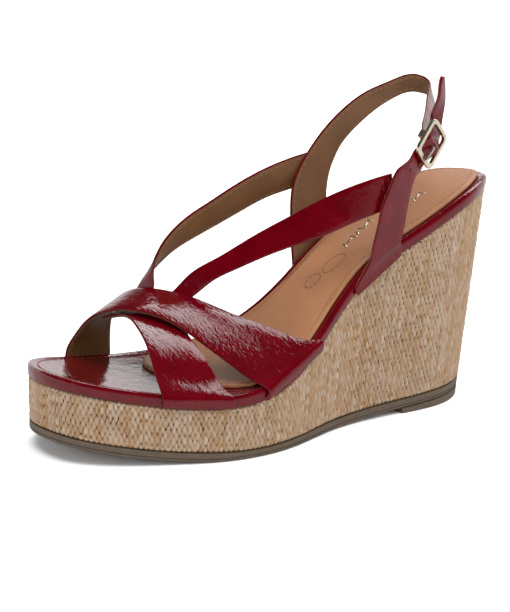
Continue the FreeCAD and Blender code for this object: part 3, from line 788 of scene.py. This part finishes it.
quarter_front = (
    (0.390, 0.730, 8.7), (0.379, 0.730, 14.6), (0.367, 0.727, 22.2), (0.355, 0.719, 29.7),
    (0.334, 0.700, 35.4), (0.309, 0.670, 40.2))
quarter_rear = (
    (0.303, 0.672, 7.0), (0.295, 0.661, 10.8), (0.288, 0.648, 15.1), (0.280, 0.635, 20.4),
    (0.269, 0.616, 26.4), (0.254, 0.592, 30.1))
tip_front = ((0.205, 0.492, 49.9), (0.197, 0.543, 56.1), (0.192, 0.539, 61.0), (0.184, 0.521, 64.8))
tip_rear = ((0.170, 0.455, 44.8), (0.164, 0.451, 51.7), (0.166, 0.459, 57.9), (0.172, 0.485, 63.3))
quarter_outer = (0.414, 0.300)
quarter_lines = []
through_slope = (strap_over_bar + strap_under_frame) / 2
for k, (leg, tip, side) in enumerate(((quarter_front, tip_front, 1), (quarter_rear, tip_rear, -1))):
    half = side * strap_end_width / 2
    through = [in_buckle(-window_half - 4.2, half, strap_under_frame + 0.1),
               in_buckle(-window_half - buckle_rim / 2, half, strap_under_frame),
               in_buckle(-window_half / 2, half, through_slope),
               in_buckle(0, half, strap_over_bar),
               in_buckle(window_half / 2, half, through_slope),
               in_buckle(window_half + buckle_rim / 2, half, strap_under_frame)]
    quarter_lines.append(at_rim(quarter_outer[k], 1) + [on_foot(*p) for p in leg] + through
                         + [on_foot(*p) for p in tip])


def punch(piece, cutter):
    """Cuts a bmesh's shape out of a piece, and uses the bmesh up."""
    tool = bpy.data.objects.new("cutter", mesh_of("cutter", cutter))
    bpy.context.scene.collection.objects.link(tool)
    cut = piece.modifiers.new("punched", "BOOLEAN")
    cut.object = tool
    cut.solver = "MANIFOLD"
    graph = bpy.context.evaluated_depsgraph_get()
    done = bpy.data.meshes.new_from_object(piece.evaluated_get(graph))
    piece.modifiers.clear()
    piece.data = done
    done.shade_smooth()
    done.set_sharp_from_angle(angle=math.radians(strap_smooth))
    bpy.data.objects.remove(tool)


def drill(middle, ways, radius, stretch=0.0):
    """A round punch, or a slot's punch where its near half is drawn out along the first way."""
    bm = bmesh.new()
    bmesh.ops.create_cone(bm, cap_ends=True, segments=28, radius1=radius, radius2=radius, depth=14)
    for v in bm.verts:
        x = v.co.x - (stretch if v.co.x < -0.01 * radius else 0.0)
        v.co = metres(middle + ways[0] * x + ways[1] * v.co.y + ways[2] * v.co.z)
    bmesh.ops.recalc_face_normals(bm, faces=bm.faces)
    return bm


quarter_pieces = strap("quarter_strap", quarter_lines, 200)
buckle_ways = (u_way, w_way, n_way)
hole_drawn = hole_reach[1] - hole_reach[0]
for piece in quarter_pieces:
    punch(piece, drill(in_buckle(hole_reach[1], 0, 0), buckle_ways, hole_radius, hole_drawn))
end, at = strap_frame(quarter_lines)
spots = np.linspace(0, end, 601)
edge_a, edge_b, outward, forward = at(spots)
middle_line = (edge_a + edge_b) / 2
walked = walked_along(middle_line)
at_bar = walked[np.argmin(np.linalg.norm(middle_line - in_buckle(0, 0, strap_over_bar), axis=1))]
for number in (-2, -1, 1):
    i = int(np.searchsorted(walked, at_bar + hole_reach[0] + number * hole_spacing))
    run = unit(forward[i])
    ways = (run, np.cross(outward[i], run), outward[i])
    for piece in quarter_pieces:
        punch(piece, drill(middle_line[i], ways, spare_hole_radius))

# ---- heel strap --------------------------------------------------------------------------
# The strap that rises from the inner side, passes round the heel, and ends in a loop that is
# folded round the buckle's centre bar and sewn down, with a slot for the prong.

sling_low = (
    (0.303, -0.515, 9.0), (0.304, -0.536, 18.1), (0.293, -0.562, 28.1), (0.278, -0.579, 33.2),
    (0.258, -0.586, 37.7), (0.220, -0.592, 41.0), (0.172, -0.594, 42.8), (0.121, -0.590, 43.2),
    (0.080, -0.547, 42.2), (0.064, -0.450, 40.7), (0.073, -0.280, 40.2), (0.112, -0.043, 39.2),
    (0.153, 0.172, 38.0), (0.187, 0.365, 37.3))
sling_top = (
    (0.404, -0.429, 11.5), (0.400, -0.472, 25.8), (0.385, -0.528, 36.0), (0.357, -0.556, 42.3),
    (0.312, -0.567, 49.0), (0.255, -0.579, 53.6), (0.196, -0.590, 54.2), (0.138, -0.592, 52.3),
    (0.082, -0.549, 50.9), (0.073, -0.386, 49.0), (0.099, -0.193, 46.6), (0.140, 0.032, 45.4),
    (0.182, 0.258, 45.1), (0.213, 0.429, 45.0))
sling_inner = (0.407, 0.303)
prong_room = 1.35            # half of the slot for the prong
loop_rounding = 0.2
bar = in_buckle(0, 0, -bar_drop)
sling_low_line = [on_foot(*p) for p in sling_low]
sling_top_line = [on_foot(*p) for p in sling_top]
last_run = bar - (sling_low_line[-1] + sling_top_line[-1]) / 2
loop_start = bar + unit(np.cross(w_way, last_run)) * loop_radius
sling_lines = [
    at_rim(sling_inner[1], 0) + sling_low_line + [loop_start - w_way * strap_end_width / 2],
    at_rim(sling_inner[0], 0) + sling_top_line + [loop_start + w_way * strap_end_width / 2]]
sling_pieces = strap("slingback_strap", sling_lines, 200)
for piece, reach in zip(sling_pieces, (loop_radius - 0.1, loop_radius + 0.08)):
    slot_cut = bmesh.new()
    bmesh.ops.create_cube(slot_cut, size=1)
    for v in slot_cut.verts:
        v.co = metres(in_buckle(1 + 12 * v.co.x, 2 * prong_room * v.co.y, -bar_drop + 1 + 12 * v.co.z))
    punch(piece, slot_cut)
    punch(piece, drill(bar, (u_way, n_way, w_way), reach))
for name, start, stop in (("heel_loop_front", prong_room, strap_end_width / 2),
                          ("heel_loop_rear", -strap_end_width / 2, -prong_room)):
    bm = bmesh.new()
    section = ((start + loop_rounding, loop_radius), (stop - loop_rounding, loop_radius),
               (stop, loop_radius - loop_rounding), (stop, bar_radius + loop_clearance),
               (start, bar_radius + loop_clearance), (start, loop_radius - loop_rounding))
    verts = [bm.verts.new(metres(bar + w_way * w + n_way * r)) for w, r in section]
    face = bm.faces.new(verts)
    bmesh.ops.spin(bm, geom=[face] + list(face.edges) + verts, cent=metres(bar), axis=w_way,
                   angle=math.tau, steps=40, use_merge=True)
    bmesh.ops.delete(bm, geom=[f for f in bm.faces if len(f.verts) > 4], context="FACES_ONLY")
    bmesh.ops.remove_doubles(bm, verts=bm.verts, dist=1e-6)
    bmesh.ops.recalc_face_normals(bm, faces=bm.faces)
    loop = as_piece(name, mesh_of(name, bm), [patent])
    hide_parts("slingback_strap")

# ---- buckle ------------------------------------------------------------------------------
# A centre-bar buckle, die-cast in zinc and plated pale gold. The heel strap's loop holds its
# bar, and the prong is bent from wire round the same bar.

# Gold plate: polished and lacquered, with swirl marks too fine to show, so they are drawn at 1 mm.
gold_plate, tree, shader, swirls = mottled("pale_gold_plate", ("#E2D4B6", "#F6ECD8"),
                                           ("TexNoise", {"Scale": 1000 / 1.0, "Detail": 3}), Metallic=1.0)
rough = add(tree, "MapRange", {"Value": swirls, "To Min": 0.12, "To Max": 0.26})
tree.links.new(rough.outputs["Result"], shader.inputs["Roughness"])
finish_cad("buckle_frame", gold_plate)
finish_cad("buckle_prong", gold_plate)

# ---- stitching ---------------------------------------------------------------------------
# Bonded polyester thread, red on the straps and round the toe, tan on the sock. Lockstitches
# are about 3 mm long and sink a little where the needle went in.

stitch_step = 3.0
stitch_width = 0.5
lining_row_inset = 1.7       # from the strap's edge to the lining's rows
end_row_margin = 1.2         # from a strap's edges to the ends of a row across it
thread_lift = 0.02           # a row's middle stands this far off the leather
sock_row_inset = 3.0
toe_row_in = 3.9

# Thread: its twist shows as ridges about 0.35 mm apart.
twist = ("TexNoise", {"Scale": 1000 / 0.35, "Detail": 1})
red_thread, tan_thread = [
    mottled(name, tones, twist, (*twist, 0.0001, 0.6), Roughness=0.45, IOR=1.53)[0]
    for name, tones in (("red_thread", ("#4A0008", "#8E1420")), ("tan_thread", ("#52331A", "#94683C")))]
bm = bmesh.new()
bmesh.ops.create_uvsphere(bm, u_segments=6, v_segments=5, radius=0.5)
stitch_shape = mesh_of("stitch_shape", bm)


def sew(name, rows, materials):
    """Rows of stitches. Each row is a line of points and the outward ways at them."""
    middles, axes, sizes = [], [], []
    for points, ways in rows:
        run = walked_along(points)
        count = int(run[-1] / stitch_step)
        for k in range(count):
            at_run = (k + 0.5) * run[-1] / count
            near = [at_run - 0.6, at_run + 0.6]
            a, b = np.array([[np.interp(s, run, points[:, j]) for j in range(3)] for s in near])
            out = np.array([np.interp(at_run, run, ways[:, j]) for j in range(3)])
            along = unit(b - a)
            across = unit(np.cross(along, out))
            middles.append((a + b) / 2)
            axes.append((across, along, np.cross(across, along)))
            sizes.append((stitch_width, stitch_step * 0.8, 0.42))
    made = scatter(name, stitch_shape, np.array(middles), np.array(axes), np.array(sizes),
                   np.zeros(len(middles)), materials)
    return made


def lining_rows(lines, start, stop):
    """A row beside each edge of a strap's lining, between two shares of its length."""
    end, at = strap_frame(lines)
    a, b, up, _ = at(np.linspace(start * end, stop * end, 300))
    over = unit(b - a) * lining_row_inset
    return [(edge - up * strap_thickness, -up) for edge in (a + over, b - over)]


def end_row(lines, t):
    """A row across a strap's face at a share of its length."""
    end, at = strap_frame(lines)
    a, b, up, _ = at(np.full(40, t * end))
    reach = np.linspace(end_row_margin, np.linalg.norm(b[0] - a[0]) - end_row_margin, 40)[:, None]
    return a + unit(b - a) * reach + up * thread_lift, up


for name, node, lines, shares in (("lateral", "lateral_instep_strap", lateral_lines, (0.955, 0.98)),
                                  ("medial", "medial_instep_strap", medial_lines, (0.96, 0.98))):
    sew(name + "_end_stitches", [end_row(lines, share) for share in shares], [red_thread])
for name, node, lines, start, stop in (
        ("sling", "slingback_strap", sling_lines, 0.03, 0.96),
        ("medial", "medial_instep_strap", medial_lines, 0.05, 0.95),
        ("lateral", "lateral_instep_strap", lateral_lines, 0.05, 0.95),
        ("over", "vamp_strap_over", over_lines, 0.05, 0.95),
        ("under", "vamp_strap_under", under_lines, 0.05, 0.95),
        ("quarter", "quarter_strap", quarter_lines, 0.05, 0.95)):
    sew(name + "_lining_stitches", lining_rows(lines, start, stop), [tan_thread])

toe_side = np.linspace(0.62, 1.0, 200)
toe_row = np.vstack([on_sole(toe_side, np.zeros(200), -toe_row_in, seat, sock_low),
                     on_sole(toe_side[::-1], np.ones(200), -toe_row_in, seat, sock_low)[1:]])
sew("toe_stitches", [(toe_row, np.tile((0.0, 0.0, 1.0), (len(toe_row), 1)))], [red_thread])
sock_share = np.linspace(0, 1, 120)
heel_side = np.linspace(0.0, 1.0, 260)
sides = []
for share, order in ((0.0, 1), (1.0, -1)):
    x_walls = on_sole(heel_side, np.full(260, share), -sock_margin - sock_row_inset, seat, sock_top)
    sides.append(x_walls[x_walls[:, 0] < sock_square - 2][::order])
front_line = []
for share in sock_share:
    line = on_sole(heel_side, np.full(260, share), -sock_margin - sock_row_inset, seat, sock_top)
    front_line.append([np.interp(sock_end(share) - sock_row_inset, line[:, 0], line[:, k]) for k in range(3)])
sock_row = np.vstack([sides[0], front_line, sides[1]])
sock_row[:, 2] += thread_lift
sew("sock_stitches", [(sock_row, np.tile((0.0, 0.0, 1.0), (len(sock_row), 1)))], [tan_thread])

# ---- footbed marks -----------------------------------------------------------------------
# The sock carries a strip of hot gold foil and two blind stamps, as such socks do. They are
# plain strokes and rings, without letters or signs.

foil_size = (1.3, 7.0, 0.16)
stamp_size = (0.9, 2.2, 0.2)


def on_sock(share, across):
    return on_foot(share, across, sock_top + 0.02)


def place_marks(name, spots, size, material):
    """Flat strokes on the sock. Each spot is a share along, a share across, and a turn in degrees."""
    middles, axes = [], []
    for share, across, turn_by in spots:
        here = on_sock(share, across)
        along = unit(on_sock(share + 0.01, across) - here)
        side = np.array((0.0, 1.0, 0.0))
        out = np.cross(along, side)
        a = math.radians(turn_by)
        stroke = along * math.cos(a) + side * math.sin(a)
        middles.append(here)
        axes.append((np.cross(stroke, out), stroke, out))
    made = scatter(name, stitch_shape, np.array(middles), np.array(axes), np.tile(size, (len(spots), 1)),
                   np.zeros(len(spots)), [material])
    return made


foil_spots = [(0.349 - 0.0135 * k, 0.088 - 0.0234 * k, (70, 20, 95, 60, 110, 35, 85)[k]) for k in range(7)]
foil_spots += [(0.184 - 0.012 * k, 0.087 - 0.009 * k, (75, 30, 100)[k]) for k in range(3)]
place_marks("foil_marks", foil_spots, foil_size, gold_plate)

# Stamped leather: the sock's own skin, pressed hot, so darker and a little glossy.
stamped = mottled("stamped_sheepskin", ("#5C3A22", "#7A5234"), ("TexNoise", {"Scale": 900, "Detail": 3}),
                  Roughness=0.35, IOR=1.47)[0]
stamp_spots = []
for share, across, wide, long, count in ((0.393, 0.21, 4.2, 5.4, 14), (0.436, 0.16, 3.4, 3.4, 10)):
    for k in range(count):
        a = math.tau * k / count
        stamp_spots.append((share + long * math.cos(a) / last_length,
                            across + wide * math.sin(a) / ball_half_width, math.degrees(a) + 90))
place_marks("stamp_marks", stamp_spots, stamp_size, stamped)

# ---- camera, light and floor -----------------------------------------------------------------
# A pale paper floor in a plain studio, painted grey where shiny faces mirror it: a painted reflection. The
# light that shiny faces mirror is set apart from the light that falls on matt ones, and the camera sees plain
# white beyond the floor.

view_azimuth = 145.1
view_elevation = 13.1
view_distance = 1.089
view_aim = Vector(metres((127.0, 0.0, 52.2)))
lens_length = 145.8
sweep_glow = 1.15            # white paper all round, as shiny faces mirror it
fill_glow = 2.25             # and as it lights matt ones, with the fill cards before it
overhead = ((-0.12, 0.62), (0.22, 0.72), 4.2)      # middle and half width both ways, and its light
gloss_box = ((-1.10, 0.52), (-0.62, 0.66), 3.9)   # the part of it that shiny faces mirror
overhead_edge = 0.06
dark_glow = 0.03
bpy.context.scene.view_settings.view_transform = "Standard"

camera = bpy.data.objects.new("camera", bpy.data.cameras.new("camera"))
bpy.context.scene.collection.objects.link(camera)
bpy.context.scene.camera = camera
a, e = math.radians(view_azimuth), math.radians(view_elevation)
back = Vector((math.sin(a) * math.cos(e), -math.cos(a) * math.cos(e), math.sin(e)))
camera.location = view_aim + back * view_distance
camera.rotation_mode = "QUATERNION"
camera.rotation_quaternion = back.to_track_quat("Z", "Y")
camera.data.lens = lens_length

paper, tree, shader = finish_of("studio_paper", Roughness=0.9)
place = add(tree, "TexCoord")
grain = add(tree, "TexNoise", {"Vector": place.outputs["Object"], "Scale": 60, "Detail": 5})
colour = add(tree, "Mix", {"Factor": grain.outputs["Fac"], "A": rgb("#F7F7F7"), "B": rgb("#FAFAFA")},
             data_type="RGBA")
# Painted reflection: to mirrored rays the paper's colour is a mid grey, which darkens the floor that shiny
# faces mirror.
ray = add(tree, "LightPath")
paper_painted_grey_in_reflections = add(tree, "Mix", {"Factor": ray.outputs["Is Glossy Ray"], "A": colour.outputs["Result"],
                          "B": rgb("#A8A8A8")}, data_type="RGBA")
tree.links.new(paper_painted_grey_in_reflections.outputs["Result"], shader.inputs["Base Color"])
bm = bmesh.new()
bmesh.ops.create_circle(bm, cap_ends=True, segments=96, radius=4.0)
floor = bpy.data.objects.new("floor", mesh_of("floor", bm))
bpy.context.scene.collection.objects.link(floor)
floor.data.materials.append(paper)

world = bpy.data.worlds.new("studio")
bpy.context.scene.world = world
world.use_nodes = True
tree = world.node_tree
sky = tree.nodes["Background"]
place = add(tree, "TexCoord")
split = add(tree, "SeparateXYZ", {"Vector": place.outputs["Generated"]})
sweep = add(tree, "MapRange", {"Value": split.outputs["Z"], "From Min": 0.20, "From Max": 0.36,
                               "To Min": sweep_glow, "To Max": dark_glow})
fill = add(tree, "MapRange", {"Value": split.outputs["Z"], "From Min": 0.30, "From Max": 0.62,
                              "To Min": fill_glow, "To Max": dark_glow})
above = add(tree, "Math", {0: split.outputs["Z"], 1: 0.05}, operation="MAXIMUM")


def box_light(middle_x, middle_y, glow, base):
    """The sky with one square light on its ceiling."""
    inside = 1.0
    for axis, (middle, half) in (("X", middle_x), ("Y", middle_y)):
        over = add(tree, "Math", {0: split.outputs[axis], 1: above.outputs[0]}, operation="DIVIDE")
        off = add(tree, "Math", {0: over.outputs[0], 1: middle}, operation="SUBTRACT")
        away = add(tree, "Math", {0: off.outputs[0]}, operation="ABSOLUTE")
        share = add(tree, "MapRange", {"Value": away.outputs[0], "From Min": half,
                                       "From Max": half + overhead_edge, "To Min": 1.0, "To Max": 0.0})
        inside = add(tree, "Math", {0: inside, 1: share.outputs["Result"]}, operation="MULTIPLY").outputs[0]
    return add(tree, "Mix", {"Factor": inside, "A": base, "B": glow}).outputs["Result"]


# Shiny faces mirror white paper behind the object and a darker room in front of it.
behind = add(tree, "MapRange", {"Value": split.outputs["Y"], "From Min": -0.1, "From Max": 0.25,
                                "To Min": 0.9, "To Max": 0.4})
mirrored = add(tree, "Math", {0: sweep.outputs["Result"], 1: behind.outputs["Result"]}, operation="MULTIPLY")
seen = add(tree, "LightPath")
lit = add(tree, "Mix", {"Factor": seen.outputs["Is Glossy Ray"],
                        "A": box_light(*overhead, fill.outputs["Result"]),
                        "B": box_light(*gloss_box, mirrored.outputs[0])})
shown = add(tree, "Mix", {"Factor": seen.outputs["Is Camera Ray"], "A": lit.outputs["Result"], "B": 1.0})
tree.links.new(shown.outputs["Result"], sky.inputs["Strength"])
sky.inputs["Color"].default_value = (1, 1, 1, 1)
